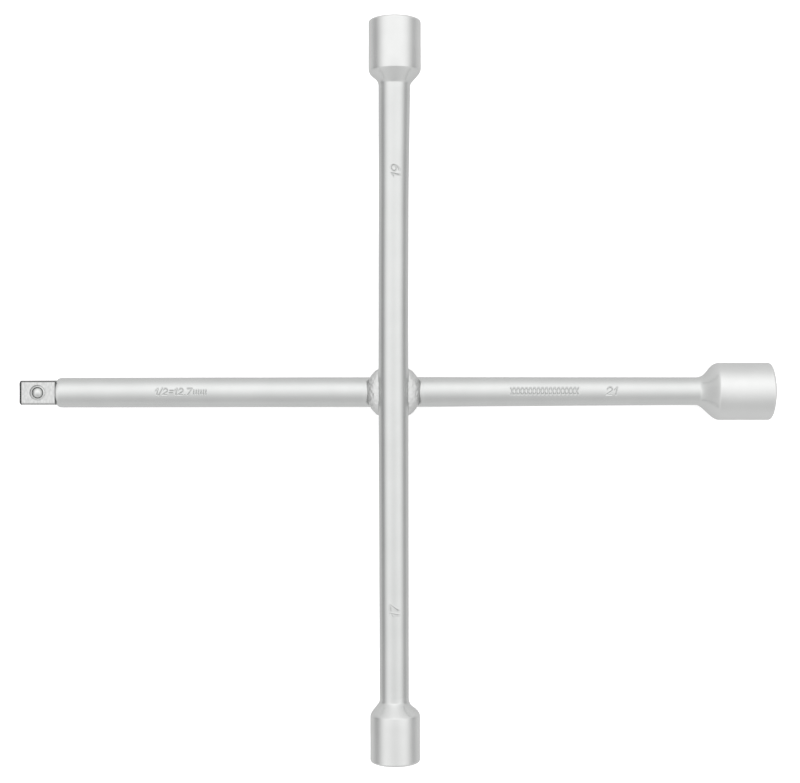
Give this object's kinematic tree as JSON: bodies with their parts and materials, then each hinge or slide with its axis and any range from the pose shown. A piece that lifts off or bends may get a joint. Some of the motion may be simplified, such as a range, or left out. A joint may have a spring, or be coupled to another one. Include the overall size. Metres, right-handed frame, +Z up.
{
  "type": "four-way lug wrench",
  "caption": "Cross-shaped lug wrench of round steel bars welded at the middle, with hexagon sockets for wheel nuts and a square drive with a spring ball.",
  "frame": {"origin": "on the floor plane, straight below the point where the two bars cross; the wrench lies level", "axes": "+Z up, from the cross bar to the upright bar; +X to the 21 mm socket; +Y to the 19 mm socket"},
  "size_m": [0.3916, 0.3821, 0.0395],
  "materials": {
    "satin_chrome": "satin chrome plate on forged chrome-vanadium steel",
    "milled_chrome": "satin chrome over milled and blasted flats",
    "weld_chrome": "satin chrome over rough upset weld metal",
    "ball_steel": "polished hardened steel",
    "spring_steel": "drawn spring wire, lightly oiled"
  },
  "bodies": {
    "wrench": {"upright_bar": "satin_chrome", "cross_bar": "satin_chrome", "crossing_weld": "weld_chrome", "socket_19": "satin_chrome", "socket_17": "satin_chrome", "socket_21": "satin_chrome", "square_drive": "milled_chrome", "detent_spring": "spring_steel"},
    "ball": {"detent_ball": "ball_steel"}
  },
  "joints": [
    {"name": "detent_press", "type": "slide", "parent": "wrench", "child": "ball", "axis": [0, 0, -1], "range_m": [0, 0.0013], "stiffness_N_per_m": 6000, "springref_m": -0.001, "deforming": ["detent_spring"]}
  ]
}
